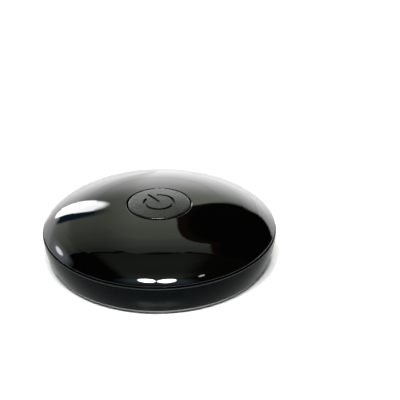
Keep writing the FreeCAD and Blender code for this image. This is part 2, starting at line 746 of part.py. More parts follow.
def sleep_crystal():
    return chip(SLEEP_CRYSTAL, *SLEEP_CRYSTAL_AT, bevel=CHIP_BEVEL)


def chip_antenna():
    return chip(ANTENNA, *ANTENNA_AT)


def antenna_matching_parts():
    return group([chip(SMALL_INDUCTOR, *place) for place in INDUCTORS_AT])


def decoupling_capacitors():
    return group([chip(SMALL_CAPACITOR, *place) for place in CAPACITORS_AT])


def pull_up_resistors():
    return group([chip(SMALL_RESISTOR, *place) for place in RESISTORS_AT])


def bulk_capacitor():
    return chip(BULK_CAPACITOR, *BULK_CAPACITOR_AT, bevel=CHIP_BEVEL)


def buzzer_transistor():
    """A small transistor: a body with two legs on one side and one on the other."""
    body = chip(TRANSISTOR, 0, 0, bevel=CHIP_BEVEL).translated(V(0, 0, TRANSISTOR_STAND))
    legs = [chip(TRANSISTOR_LEG, *place) for place in TRANSISTOR_LEGS_AT]
    return placed(fused([body, *legs]), *TRANSISTOR_AT)


def flyback_diode():
    """A small diode: a body with a tab at each end."""
    return placed(fused([chip(DIODE, 0, 0, bevel=CHIP_BEVEL), chip(DIODE_TABS, 0, 0)]), *DIODE_AT)


def program_pads():
    pad = cylinder(PAD_PROBE_R, BOARD_Z, BOARD_Z + PAD_PROBE_THICK)
    return group([placed(pad, *place) for place in PAD_PROBES_AT])


# ---------------------------------------------------------------- cell and contacts


def coin_cell_can():
    """The cup of the cell, crimped inwards at its mouth."""
    lip_z = CELL_TOP_Z - CELL_LIP_DROP
    drum = cylinder(CELL_R, CELL_BOTTOM_Z, lip_z)
    cup = rounded(drum, CELL_EDGE_R, circle_at(CELL_R, CELL_BOTTOM_Z))
    hollow = cylinder(CELL_R - CELL_SKIN, CELL_BOTTOM_Z + CELL_SKIN, lip_z - CELL_SKIN)
    return cup.cut(hollow).cut(cylinder(CELL_MOUTH_R, CELL_BOTTOM_Z + CELL_SKIN, CELL_TOP_Z))


CELL_CAP_Z = CELL_TOP_Z - 1.2  # lower edge of the cell's cap


def coin_cell_cap():
    drum = cylinder(CELL_CAP_R, CELL_CAP_Z, CELL_TOP_Z)
    cap = rounded(drum, CELL_EDGE_R, circle_at(CELL_CAP_R, CELL_TOP_Z))
    return cap.cut(cylinder(CELL_CAP_R - CELL_SKIN, CELL_CAP_Z, CELL_TOP_Z - CELL_SKIN))


def coin_cell_seal():
    """The insulating ring between the can's lip and the cap."""
    inner = CELL_CAP_R - CELL_SEAL_REACH
    cap = CELL_CAP_R + CELL_FIT
    mouth = CELL_MOUTH_R - CELL_FIT
    outer = CELL_R - CELL_SKIN - CELL_FIT
    bottom = CELL_CAP_Z - CELL_SEAL_THICK
    cap_z = CELL_CAP_Z - CELL_FIT
    top = CELL_TOP_Z - CELL_LIP_DROP - CELL_SEAL_RECESS
    lip_z = CELL_TOP_Z - CELL_LIP_DROP - CELL_SKIN - CELL_FIT
    return revolved_polygon(
        [
            (inner, bottom),
            (outer, bottom),
            (outer, lip_z),
            (mouth, lip_z),
            (mouth, top),
            (cap, top),
            (cap, cap_z),
            (inner, cap_z),
        ]
    )


def coin_cell_core():
    """The cathode pellet, with the separator and the lithium disc on it."""
    split_z = CELL_CAP_Z - CELL_PELLET_GAP
    pellet = cylinder(CELL_R - CELL_SKIN - CELL_PELLET_GAP, CELL_BOTTOM_Z + CELL_SKIN, split_z)
    disc = cylinder(CELL_CAP_R - CELL_DISC_INSET, split_z, CELL_TOP_Z - CELL_SKIN - CELL_FIT)
    return fused([pellet, disc])


def negative_contact():
    """A sprung cross under the board that presses on the cell's cap."""
    top = BOARD_BOTTOM_Z - SOLDER
    bottom = top - SPRING_THICK
    touch = CELL_TOP_Z + CELL_FIT
    path = [(r, bottom) for r in SPRING_ROOT_R]
    path += [(SPRING_TOUCH_R, touch), (SPRING_TIP_R, touch + SPRING_TIP_LIFT)]
    arms = around(strip(path, SPRING_THICK, SPRING_WIDTH), SPRING_ANGLES)
    half = SPRING_HUB_HALF
    return fused([block(-half, half, -half, half, bottom, top), *arms])


def positive_contacts():
    """Two leaves under the board that reach in through the cradle and press on the cell's side."""
    top = BOARD_BOTTOM_Z - SOLDER
    touch = CELL_R + CELL_FIT
    path = [(r, top) for r in LEAF_TAIL_R]
    path += [LEAF_KNEE, (touch, LEAF_TOUCH_Z), (touch + LEAF_LEAD_IN, LEAF_TOUCH_Z - LEAF_LEAD_IN)]
    return group(around(strip(path, LEAF_THICK, LEAF_WIDTH), LEAF_ANGLES))


def battery_cradle():
    wall = ring(CRADLE_INNER_R, CRADLE_OUTER_R, CRADLE_BOTTOM_Z, BOARD_BOTTOM_Z)
    arm = block(*ARM_R, -ARM_HALF, ARM_HALF, ARM_BOTTOM_Z, BOARD_BOTTOM_Z)
    pin = cylinder(PIN_R, ARM_BOTTOM_Z, BOARD_Z + PIN_PROUD, PIN_CIRCLE_R)
    window = block(CELL_R, ARM_R[1], -LEAF_WINDOW_HALF, LEAF_WINDOW_HALF, *LEAF_WINDOW_Z)
    body = fused([wall, *around(arm, ARM_ANGLES), *around(pin, ARM_ANGLES)])
    return body.cut(group(around(window, LEAF_ANGLES)))


# ---------------------------------------------------------------- battery door


def battery_door():
    disc = rounded(cylinder(DOOR_R, BASE_Z, DOOR_TOP_Z), DOOR_EDGE_R, circle_at(DOOR_R, BASE_Z))
    neck = ring(NECK_INNER_R, NECK_R, BASE_Z + NECK_FOOT, NECK_TOP_Z)
    lug = sector(NECK_INNER_R + LUG_INSET, LUG_R, LEDGE_TOP_Z + LUG_CLEARANCE, NECK_TOP_Z, 0, LUG_DEG)
    body = fused([disc, neck, *around(lug, LUG_ANGLES)])
    groove = ring(O_RING_GROOVE_R, BEYOND, O_RING_Z - O_RING_GROOVE_HALF, O_RING_Z + O_RING_GROOVE_HALF)
    slot = slotted(COIN_SLOT_HALF, COIN_SLOT_WIDTH, 0, BASE_Z + COIN_SLOT_DEPTH)
    base, tip = POINTER_R
    corners = [V(base, -POINTER_HALF, 0), V(base, POINTER_HALF, 0), V(tip, 0, 0)]
    pointer = Part.Face(Part.makePolygon(corners + corners[:1])).extrude(V(0, 0, BASE_Z + MARK_DEPTH))
    return body.cut(group([groove, slot, turned(pointer, POINTER_DEG)]))


def door_o_ring():
    return Part.makeTorus(O_RING_CENTRE_R, O_RING_R, V(0, 0, O_RING_Z), UP)


# ---------------------------------------------------------------- buzzer


def above_buzzer_floor(heights):
    return [BUZZER_BOTTOM_Z + height for height in heights]


def buzzer_case():
    x0, x1 = BUZZER_X - BUZZER_HALF, BUZZER_X + BUZZER_HALF
    case = block(x0, x1, -BUZZER_HALF, BUZZER_HALF, BUZZER_BOTTOM_Z, BUZZER_TOP_Z)
    case = rounded(case, BUZZER_CORNER_R, lambda edge: edge.BoundBox.ZLength > 1)
    floor_z = BUZZER_BOTTOM_Z + BUZZER_FLOOR_THICK
    well = cylinder(BUZZER_WELL_R, floor_z, BUZZER_TOP_Z - BUZZER_ROOF_THICK, BUZZER_X)
    port = cylinder(BUZZER_PORT_R, 0, floor_z, PORT_X)
    return case.cut(group([well, port]))


def buzzer_disc():
    """The steel disc that the coil pulls."""
    return cylinder(BUZZER_WELL_R - BUZZER_CLEARANCE, *above_buzzer_floor(BUZZER_DISC_Z), BUZZER_X)


def buzzer_magnet():
    outer = BUZZER_WELL_R - BUZZER_CLEARANCE
    return ring(BUZZER_MAGNET_INNER_R, outer, *above_buzzer_floor(BUZZER_MAGNET_Z), BUZZER_X)


def buzzer_coil():
    return ring(*BUZZER_COIL_R, *above_buzzer_floor(BUZZER_COIL_Z), BUZZER_X)


def buzzer_core():
    return cylinder(BUZZER_CORE_R, *above_buzzer_floor(BUZZER_CORE_Z), BUZZER_X)


def buzzer_gasket():
    return ring(*PORT_SEAL_R, FLOOR_Z + MESH_THICK + SOLDER, BUZZER_BOTTOM_Z, PORT_X)


def port_mesh():
    return cylinder(MESH_R, FLOOR_Z, FLOOR_Z + MESH_THICK, PORT_X)


# ---------------------------------------------------------------- fasteners


def case_screw():
    """A thread-forming screw, head down, on the Z axis. Its thread is a row of ridges."""
    head_z = SEAT_Z - SCREW_HEAD_THICK
    tip_z = SEAT_Z + SCREW_LENGTH
    point_z = tip_z - SCREW_POINT
    ridges = int((SCREW_LENGTH - SCREW_PLAIN) / SCREW_PITCH)
    outline = [(0, head_z), (SCREW_HEAD_R, head_z), (SCREW_HEAD_R, SEAT_Z), (SCREW_ROOT_R, SEAT_Z)]
    for i in range(ridges, 0, -1):
        z = point_z - i * SCREW_PITCH
        outline += [(SCREW_ROOT_R, z), (SCREW_R, z + RIDGE_RISE), (SCREW_ROOT_R, z + 2 * RIDGE_RISE)]
    outline += [(SCREW_ROOT_R, point_z), (SCREW_ROOT_R / 2, tip_z), (0, tip_z)]
    body = rounded(revolved_polygon(outline), SCREW_HEAD_EDGE, circle_at(SCREW_HEAD_R, head_z))
    half = RECESS_WIDTH / 2
    recess = block(-RECESS_HALF, RECESS_HALF, -half, half, 0, head_z + RECESS_DEPTH)
    return body.cut(recess.fuse(turned(recess, 90)))


def case_screws():
    return group(around(case_screw().translated(V(SCREW_CIRCLE_R, 0, 0)), SCREW_ANGLES))


# ---------------------------------------------------------------- nodes


NODES = [
    top_cover,
    lower_shell,
    seam_gasket,
    foot_ring,
    case_screws,
    button_cap,
    button_diaphragm,
    diaphragm_retainer,
    tact_switch_base,
    tact_switch_cover,
    tact_switch_terminals,
    snap_dome,
    switch_plunger,
    pcb,
    ble_soc,
    main_crystal,
    sleep_crystal,
    chip_antenna,
    antenna_matching_parts,
    decoupling_capacitors,
    pull_up_resistors,
    bulk_capacitor,
    buzzer_transistor,
    flyback_diode,
    program_pads,
    coin_cell_can,
    coin_cell_cap,
    coin_cell_seal,
    coin_cell_core,
    negative_contact,
    positive_contacts,
    battery_cradle,
    battery_door,
    door_o_ring,
    buzzer_case,
    buzzer_disc,
    buzzer_magnet,
    buzzer_coil,
    buzzer_core,
    buzzer_gasket,
    port_mesh,
]


def main():
    os.makedirs("parts", exist_ok=True)
    for make in NODES:
        shape = make()
        name = make.__name__
        if not shape.Solids or not all(solid.isValid() for solid in shape.Solids):
            raise ValueError(f"{name} is not made of valid solids")
        shape.exportStep(f"parts/{name}.step")
        print(f"{name}: {len(shape.Solids)} solid(s), {shape.Volume:.2f} mm3")


main()
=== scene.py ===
"""Studio scene of the round tracker tag: a glossy black puck on a white table, in a soft daylit
room that its cover mirrors.

Metres, in the CAD frame. Directions are az and el in degrees: az 0 is straight away from the
camera and az grows to its right, and el is above the horizon.
"""

import json
import math

import bmesh
import bpy
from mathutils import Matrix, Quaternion, Vector


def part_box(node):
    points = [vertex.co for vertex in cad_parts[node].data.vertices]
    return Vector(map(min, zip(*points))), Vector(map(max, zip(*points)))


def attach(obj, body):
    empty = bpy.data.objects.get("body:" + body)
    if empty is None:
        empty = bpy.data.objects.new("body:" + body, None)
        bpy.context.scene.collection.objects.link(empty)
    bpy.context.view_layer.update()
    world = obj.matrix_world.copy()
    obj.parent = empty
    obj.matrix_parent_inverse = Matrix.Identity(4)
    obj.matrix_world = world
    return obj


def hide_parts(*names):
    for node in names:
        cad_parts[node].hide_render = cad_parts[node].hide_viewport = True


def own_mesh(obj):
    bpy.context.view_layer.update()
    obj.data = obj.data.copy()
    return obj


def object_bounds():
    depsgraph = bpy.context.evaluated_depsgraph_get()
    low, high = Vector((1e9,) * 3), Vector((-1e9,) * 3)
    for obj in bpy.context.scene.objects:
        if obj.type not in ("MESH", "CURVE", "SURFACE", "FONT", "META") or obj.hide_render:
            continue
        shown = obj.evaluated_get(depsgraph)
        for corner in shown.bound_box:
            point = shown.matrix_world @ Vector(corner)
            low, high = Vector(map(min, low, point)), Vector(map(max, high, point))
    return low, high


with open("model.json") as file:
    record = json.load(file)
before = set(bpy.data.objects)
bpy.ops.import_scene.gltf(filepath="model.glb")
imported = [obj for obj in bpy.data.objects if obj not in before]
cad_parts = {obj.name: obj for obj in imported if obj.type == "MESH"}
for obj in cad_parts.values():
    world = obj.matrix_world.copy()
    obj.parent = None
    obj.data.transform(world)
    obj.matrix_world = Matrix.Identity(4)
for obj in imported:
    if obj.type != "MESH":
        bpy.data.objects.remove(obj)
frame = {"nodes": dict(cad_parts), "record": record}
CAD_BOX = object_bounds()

MM = 0.001

# Camera
CAMERA_AZIMUTH = -33.0  # degrees about Z from -Y, where it stands
CAMERA_ELEVATION = 30.98
CAMERA_ROLL = 1.23
CAMERA_DISTANCE = 300 * MM
LENS_MM = 155.77
SENSOR_MM = 36.0
# Where the CAD origin falls, in picture widths from the middle of the picture
ORIGIN_RIGHT = -0.0998
ORIGIN_UP = -0.1395

# Places on the tag
TAG_CENTRE = Vector((0, 0, (CAD_BOX[1][2] - CAD_BOX[0][2]) / 2))
SHELL_BOTTOM_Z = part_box("lower_shell")[0][2]
SEAM_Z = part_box("lower_shell")[1][2]
CAP_TOP_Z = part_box("button_cap")[1][2]
CAP_CROWN_R = 40 * MM
SYMBOL_R = 3.2 * MM  # the painted shade in the sunk symbol lies within it
UNDERSIDE_R = 18.0 * MM  # the flat underside lies within it, and the side wall beyond
FOOT_HIGHLIGHT_HEIGHT = 0.6 * MM  # height of the painted highlight along the lower edge
SEAM_LIP_DROP = 0.28 * MM  # from the seam down to the painted highlight line on the shell

TABLE_HALF = 6.0  # beyond every view

# Room. Its ceiling is level, and places on it are counted in its own height above the tag
LEAST_RISE = 0.02  # lower directions meet the ceiling as this one does
CEILING_END = 8.0
PANEL_START = 0.6
PANEL_LIGHT = (
    (0.0, 0.25),
    (0.5, 0.27),
    (0.65, 0.34),
    (0.8, 0.5),
    (1.0, 0.68),
    (1.3, 0.82),
    (2.0, 0.9),
    (3.5, 1.35),
)  # distance ahead and strength
DARKEST = 0.005  # light of the room's dark parts
WINDOW_LIGHT = 95.0
WINDOW_AZ = (-158, 170)


def heading(az, el):
    """The unit vector that points in the direction az, el."""
    turn = math.radians(az - CAMERA_AZIMUTH)
    rise = math.radians(el)
    level = math.cos(rise)
    return Vector((math.sin(turn) * level, math.cos(turn) * level, math.sin(rise)))


def sine(degrees):
    return math.sin(math.radians(degrees))


def opaque(colour, scale=1.0):
    """The colour times scale, with the alpha that sockets want."""
    return (*[part * scale for part in colour], 1.0)


def grey(value):
    return (value, value, value, 1.0)


# ---------------------------------------------------------------- node helpers


class Nodes:
    """A short way to write a node tree. set links or fills a socket and node returns the new
    node; every other method adds nodes and returns their output socket."""

    def __init__(self, tree):
        self.tree = tree
        self.tree.nodes.clear()

    def set(self, socket, value):
        if isinstance(value, bpy.types.NodeSocket):
            self.tree.links.new(value, socket)
        else:
            socket.default_value = value

    def node(self, kind, inputs=None, **settings):
        node = self.tree.nodes.new(kind)
        for name, value in settings.items():
            setattr(node, name, value)
        for name, value in (inputs or {}).items():
            self.set(node.inputs[name], value)
        return node

    def add(self, kind, inputs=None, **settings):
        return self.node(kind, inputs, **settings).outputs[0]

    def math(self, operation, a, b=0.0):
        return self.add("ShaderNodeMath", {0: a, 1: b}, operation=operation)

    def plus(self, a, b):
        return self.math("ADD", a, b)

    def minus(self, a, b):
        return self.math("SUBTRACT", a, b)

    def times(self, a, b):
        return self.math("MULTIPLY", a, b)

    def ramp(self, value, low, high, to_low=0.0, to_high=1.0, kind="SMOOTHSTEP"):
        """value brought from low..high to to_low..to_high, and held beyond."""
        inputs = {0: value, 1: low, 2: high, 3: to_low, 4: to_high}
        return self.add("ShaderNodeMapRange", inputs, interpolation_type=kind)

    def curve(self, value, points):
        """A smooth function of value through (value, result) points."""
        node = self.node("ShaderNodeValToRGB")
        first, last = points[0][0], points[-1][0]
        peak = max(result for at, result in points)
        elements = node.color_ramp.elements
        node.color_ramp.interpolation = "EASE"
        for i, (at, result) in enumerate(points):
            place = (at - first) / (last - first)
            element = elements[i] if i < 2 else elements.new(place)
            element.position = place
            element.color = grey(result / peak)
        self.set(node.inputs[0], self.ramp(value, first, last, kind="LINEAR"))
        return self.times(node.outputs[0], peak)

    def mix(self, factor, a, b, blend="MIX"):
        node = self.node("ShaderNodeMix", {0: factor}, data_type="RGBA", blend_type=blend)
        self.set(node.inputs[6], a)
        self.set(node.inputs[7], b)
        return node.outputs[2]

    def dot(self, a, b):
        node = self.node("ShaderNodeVectorMath", {0: a, 1: b}, operation="DOT_PRODUCT")
        return node.outputs["Value"]

    def noise(self, place, size, detail=2.0, roughness=0.5):
        """Cloudy noise of about 0..1 whose features are size metres across."""
        inputs = {"Vector": place, "Scale": 1 / size, "Detail": detail, "Roughness": roughness}
        return self.add("ShaderNodeTexNoise", inputs)


# ---------------------------------------------------------------- room


class Room:
    """The light that comes from each direction of the room, as a world shader."""

    def __init__(self):
        world = bpy.data.worlds.new("room")
        bpy.context.scene.world = world
        world.use_nodes = True
        n = self.n = Nodes(world.node_tree)
        self.direction = n.add("ShaderNodeTexCoord")
        self.forward = n.dot(self.direction, heading(0, 0))
        self.sideways = n.dot(self.direction, heading(90, 0))
        self.height = n.dot(self.direction, (0, 0, 1))
        rise = n.math("MAXIMUM", self.height, LEAST_RISE)
        self.ahead = n.math("MINIMUM", n.math("DIVIDE", self.forward, rise), CEILING_END)
        self.aside = n.math("DIVIDE", self.sideways, rise)
        self.light = grey(0.0)

    def patch(self, az, el, width, height, turn=0.0, soft=0.3, power=2.0):
        """1 inside a rounded patch of width by height degrees about az, el, and 0 outside. turn
        lifts its right end, soft is the share of its radius over which it fades, and power squares
        its outline off."""
        n = self.n
        centre = heading(az, el)
        across = heading(az + 90, 0)
        upward = across.cross(centre)
        roll = Quaternion(centre, math.radians(-turn))
        depth = n.math("MAXIMUM", n.dot(self.direction, centre), 0.01)
        terms = []
        for axis, span in ((across, width), (upward, height)):
            part = n.math("DIVIDE", n.dot(self.direction, roll @ axis), depth)
            part = n.math("ABSOLUTE", n.times(part, 1 / math.tan(math.radians(span / 2))))
            terms.append(n.math("POWER", part, power))
        radius = n.math("POWER", n.plus(*terms), 1 / power)
        return n.ramp(radius, 1 - soft, 1 + soft, 1.0, 0.0)

    def lay(self, strength, colour=(1, 1, 1), **shape):
        """Covers what is there with a patch of light of this strength."""
        self.light = self.n.mix(self.patch(**shape), self.light, opaque(colour, strength))

    def finish(self):
        """The camera itself sees a plain pale wall in place of the room."""
        n = self.n
        room = n.add("ShaderNodeBackground", {0: self.light, 1: 1.0})
        wall = n.add("ShaderNodeBackground", {0: grey(1.0), 1: 1.0})
        seen = n.node("ShaderNodeLightPath").outputs["Is Camera Ray"]
        light = n.add("ShaderNodeMixShader", {0: seen, 1: room, 2: wall})
        n.node("ShaderNodeOutputWorld", {0: light})


def ceiling_panel(room, front):
    """The lit panel ahead: brighter further off and to the right, with a dull beam across it on
    the left."""
    n = room.n
    light = n.curve(room.ahead, PANEL_LIGHT)
    light = n.times(light, n.ramp(front, PANEL_START, PANEL_START + 0.025))
    beam = n.math("ABSOLUTE", n.plus(room.aside, 0.5))
    light = n.times(light, n.ramp(beam, 0.15, 0.4, 0.64, 1.0))
    return n.times(light, n.ramp(room.aside, -0.3, -0.05, 1.0, 1.22))


def far_wall(room):
    """The wall under the panel, bright in the middle."""
    n = room.n
    glow = n.ramp(room.sideways, -0.6, -0.05)
    glow = n.times(glow, n.ramp(room.sideways, 0.2, 0.65, 1.0, 0.0))
    light = n.ramp(room.height, sine(6), sine(25), 1.0, 0.0)
    light = n.times(light, n.ramp(glow, 0.0, 1.0, 0.3, 1.7))
    return n.times(light, n.ramp(room.forward, 0.1, 0.55))


def ceiling_overhead(room, front):
    """The dull ceiling this side of the panel, with dark walls at its sides."""
    n = room.n
    light = n.ramp(room.height, sine(54), sine(82), 0.13, 0.2)
    light = n.times(light, n.ramp(front, PANEL_START - 0.01, PANEL_START - 0.03))
    light = n.times(light, n.ramp(room.aside, -0.52, -0.36))
    return n.times(light, n.ramp(room.aside, 0.15, 0.4, 1.0, 0.15))


def ceiling_behind(room):
    n = room.n
    light = n.ramp(room.forward, -0.05, -0.3, 0.0, 0.22)
    return n.times(light, n.ramp(room.height, sine(60), sine(74)))


def make_room():
    room = Room()
    n = room.n
    # the panel's front edge runs askew on the right
    front = n.minus(room.ahead, n.ramp(room.aside, 0.12, 0.6, 0.0, -0.25, kind="LINEAR"))
    ahead = n.plus(ceiling_panel(room, front), far_wall(room))
    above = n.plus(ceiling_overhead(room, front), ceiling_behind(room))
    total = n.plus(n.plus(ahead, above), DARKEST)
    tint = n.mix(n.ramp(room.height, 0.25, 0.5), grey(1.0), (0.9, 1.0, 0.8, 1.0))
    room.light = n.mix(1.0, total, tint, blend="MULTIPLY")
    # dark curtain on the right, with a warm rim
    for shift, soft, colour in (
        (0.0, 0.03, (0.055, 0.03, 0.018)),
        (2.0, 0.12, (0.005, 0.004, 0.003)),
    ):
        el = 35.5 - shift
        room.lay(1.0, colour, az=44 + shift, el=el, width=56, height=49, soft=soft, power=1.4)
        el = 37.5 - shift
        room.lay(1.0, colour, az=16.5 + shift, el=el, width=19, height=27, soft=soft)
    # skylight ahead on the left, with its blue frame
    frame_blue = (0.3, 0.85, 1.45)
    shape = {"width": 21, "height": 6.5, "turn": 38, "soft": 0.25, "power": 2.2}
    room.lay(0.085, frame_blue, az=-21.0, el=24.0, **shape)
    shape = {"width": 23, "height": 7.2, "turn": 52, "soft": 0.1, "power": 2.6}
    room.lay(9.0, az=-18.5, el=18.5, **shape)
    # window on the left, with its glow
    room.lay(1.6, (0.9, 1.0, 1.15), az=-60, el=26, width=26, height=14, turn=-27, soft=0.6)
    room.lay(10.0, az=-58, el=26, width=11, height=5.5, turn=-27, soft=0.3)
    # two windows behind the camera with their spill, and a small lamp
    room.lay(0.75, (0.6, 0.95, 1.3), az=-174, el=65.5, width=42, height=9, soft=0.6, power=2.4)
    for az in WINDOW_AZ:
        room.lay(WINDOW_LIGHT, az=az, el=66.0, width=11, height=7.5, soft=0.25)
    room.lay(9.0, (1.0, 0.94, 0.8), az=120, el=60, width=4.4, height=3.2, soft=0.3)
    room.finish()


def area_light(name, az, el, distance, size, power):
    """A round soft light on the table that mirrors don't see."""
    data = bpy.data.lights.new(name, "AREA")
    data.shape = "DISK"
    data.size = size
    data.energy = power
    obj = bpy.data.objects.new(name, data)
    bpy.context.scene.collection.objects.link(obj)
    direction = heading(az, el)
    obj.location = TAG_CENTRE + direction * distance
    obj.rotation_mode = "QUATERNION"
    obj.rotation_quaternion = (-direction).to_track_quat("-Z", "Y")
    obj.visible_glossy = False
    obj.visible_camera = False


def make_table():
    """A white table, faintly uneven in tone and gloss."""
    mesh = bpy.data.meshes.new("table_top")
    build = bmesh.new()
    corners = ((-1, -1), (1, -1), (1, 1), (-1, 1))
    build.faces.new([build.verts.new((x * TABLE_HALF, y * TABLE_HALF, 0)) for x, y in corners])
    build.to_mesh(mesh)
    build.free()
    material = bpy.data.materials.new("table_white")
    material.use_nodes = True
    n = Nodes(material.node_tree)
    place = n.node("ShaderNodeTexCoord").outputs["Object"]
    tone = n.ramp(n.noise(place, 40 * MM, 3.0), 0.3, 0.7, 0.9, 0.93)
    gloss = n.ramp(n.noise(place, 6 * MM, 3.0), 0.3, 0.7, 0.12, 0.16)
    inputs = {"Base Color": tone, "Roughness": gloss, "Specular IOR Level": 0.9}
    shader = n.node("ShaderNodeBsdfPrincipled", inputs)
    n.node("ShaderNodeOutputMaterial", {0: shader.outputs[0]})
    mesh.materials.append(material)
    table = bpy.data.objects.new("table_top", mesh)
    bpy.context.scene.collection.objects.link(table)


def make_camera():
    data = bpy.data.cameras.new("camera")
    data.sensor_width = SENSOR_MM
    data.lens = LENS_MM
    data.clip_start = 0.01
    data.clip_end = 20.0
    camera = bpy.data.objects.new("camera", data)
    bpy.context.scene.collection.objects.link(camera)
    back = heading(180, CAMERA_ELEVATION)
    camera.location = back * CAMERA_DISTANCE
    frame_width = SENSOR_MM / LENS_MM
    origin = Vector((ORIGIN_RIGHT * frame_width, ORIGIN_UP * frame_width, -1))
    aim = Vector((0, 0, -1)).rotation_difference(origin)
    level = (-back).to_track_quat("-Z", "Y") @ Quaternion((0, 0, 1), -math.radians(CAMERA_ROLL))
    camera.rotation_mode = "QUATERNION"
    camera.rotation_quaternion = level @ aim.inverted()
    bpy.context.scene.camera = camera


# ---------------------------------------------------------------- materials


class Surface:
    """A material with one Principled shader. Positions in it are object positions in metres."""

    def __init__(self, name, **fixed):
        self.material = bpy.data.materials.new(name)
        self.material.use_nodes = True
        self.n = Nodes(self.material.node_tree)
        inputs = {key.replace("_", " "): value for key, value in fixed.items()}
        self.shader = self.n.node("ShaderNodeBsdfPrincipled", inputs)
        self.n.node("ShaderNodeOutputMaterial", {0: self.shader.outputs[0]})
        self.place = self.n.node("ShaderNodeTexCoord").outputs["Object"]
        self.tone = None
        self.normal = None

    def link(self, name, value):
        self.n.set(self.shader.inputs[name], value)

    def stretched(self, x, y, z):
        """The position with each axis scaled, for streaks."""
        return self.n.add("ShaderNodeMapping", {"Vector": self.place, "Scale": (x, y, z)})

    def bump(self, height, depth):
        """Adds relief: height is about 0..1 and depth is what 1 stands for, in metres."""
        inputs = {"Height": height, "Distance": depth, "Strength": 1.0}
        if self.normal is not None:
            inputs["Normal"] = self.normal
        self.normal = self.n.add("ShaderNodeBump", inputs)
        self.link("Normal", self.normal)

    def edges(self, radius):
        """1 on sharp edges, within about radius of them, and 0 elsewhere."""
        n = self.n
        smooth = n.add("ShaderNodeBevel", {"Radius": radius}, samples=6)
        plain = n.node("ShaderNodeNewGeometry").outputs["Normal"]
        return n.ramp(n.minus(1.0, n.dot(smooth, plain)), 0.03, 0.2)

    def patchy(self, mask, size):
        """mask broken up by noise of that size, into patches."""
        patches = self.n.noise(self.place, size, detail=4.0, roughness=0.6)
        return self.n.times(mask, self.n.ramp(patches, 0.38, 0.62))


def moulded(name, colour, shade, roughness, grain, depth):
    """Moulded plastic or rubber: a fine grain, and slow variation of gloss and tone. shade is what
    the tone is multiplied by in its clouds, and roughness a range."""
    s = Surface(name)
    n = s.n
    clouds = n.ramp(n.noise(s.place, 3 * MM, 3.0), 0.35, 0.65)
    s.tone = n.mix(clouds, opaque(colour), opaque(colour, shade))
    grains = n.noise(s.place, grain, 2.0)
    slow = n.noise(s.place, 2.2 * MM, 3.0)
    both = n.plus(n.times(grains, 0.5), n.times(slow, 0.5))
    s.link("Base Color", s.tone)
    s.link("Roughness", n.ramp(both, 0.35, 0.65, *roughness))
    s.bump(grains, depth)
    return s


def tint_towards(s, mask, colour, amount):
    """Brings a moulded surface towards colour by amount where mask is 1."""
    s.tone = s.n.mix(s.n.times(mask, amount), s.tone, opaque(colour))
    s.link("Base Color", s.tone)


def metal(name, colour, roughness, streak, size, dark=0.75):
    """Sheet or turned metal: streaks of roughness, shorter along the axes that streak scales up,
    and a faint cloudy tarnish that multiplies the colour by dark."""
    s = Surface(name, Metallic=1.0)
    n = s.n
    streaks = n.noise(s.stretched(*streak), size, detail=4.0, roughness=0.6)
    cloud = n.ramp(n.noise(s.place, 1.5 * MM, 3.0), 0.35, 0.7)
    both = n.plus(n.times(streaks, 0.7), n.times(cloud, 0.3))
    s.link("Base Color", n.mix(cloud, opaque(colour), opaque(colour, dark)))
    s.link("Roughness", n.ramp(both, 0.3, 0.7, *roughness))
    s.bump(streaks, 0.004 * MM)
    return s


def cover_gloss():
    """Piano-black gloss with the faint ripple of moulding, hairline marks and a little haze."""
    s = Surface("cover_gloss", Base_Color=grey(0.0004), IOR=1.5)
    n = s.n
    haze = n.ramp(n.noise(s.place, 7 * MM, 4.0), 0.45, 0.75)
    marks = n.times(
        n.ramp(n.noise(s.stretched(1, 14, 1), 0.5 * MM, 2.0), 0.66, 0.72),
        n.ramp(n.noise(s.place, 4 * MM, 2.0), 0.45, 0.7),
    )
    s.link("Roughness", n.plus(n.ramp(haze, 0.0, 1.0, 0.012, 0.03), n.times(marks, 0.03)))
    s.bump(n.noise(s.place, 3.5 * MM, 1.0), 0.0012 * MM)
    return s.material


def shell_satin():
    """Satin black moulding, with painted highlights: paler along its lower edge and in a thin line
    under the seam.
    """
    s = moulded(
        "shell_satin",
        colour=(0.0007, 0.0012, 0.0013),
        shade=1.6,
        roughness=(0.15, 0.2),
        grain=0.09 * MM,
        depth=0.001 * MM,
    )
    s.link("Specular IOR Level", 0.04)
    s.link("Specular Tint", (0.75, 1.0, 1.0, 1.0))
    n = s.n
    x, y, height = n.node("ShaderNodeSeparateXYZ", {0: s.place}).outputs
    squared = n.plus(n.times(x, x), n.times(y, y))
    outside = n.ramp(squared, UNDERSIDE_R**2, (UNDERSIDE_R + 0.2 * MM) ** 2)
    # painted highlight: the lower edge is made paler, where it would mirror the bright table
    top = SHELL_BOTTOM_Z + FOOT_HIGHLIGHT_HEIGHT
    foot_highlight = n.times(
        n.ramp(height, top, top - 0.16 * MM),
        n.ramp(height, SHELL_BOTTOM_Z, SHELL_BOTTOM_Z + 0.03 * MM),
    )
    foot_highlight = n.times(foot_highlight, n.ramp(n.noise(s.place, 0.7 * MM, 3.0), 0.2, 0.6, 0.65, 1.0))
    tint_towards(s, n.times(foot_highlight, outside), (0.36, 0.37, 0.37), 0.9)
    # painted highlight: a thin pale line just under the seam, where the shell's top edge catches
    # light
    lip = SEAM_Z - SEAM_LIP_DROP
    seam = n.times(
        n.ramp(height, lip - 0.16 * MM, lip - 0.04 * MM),
        n.ramp(height, lip, lip + 0.05 * MM, 1.0, 0.0),
    )
    tint_towards(s, seam, (0.05, 0.052, 0.054), 0.6)
    return s.material


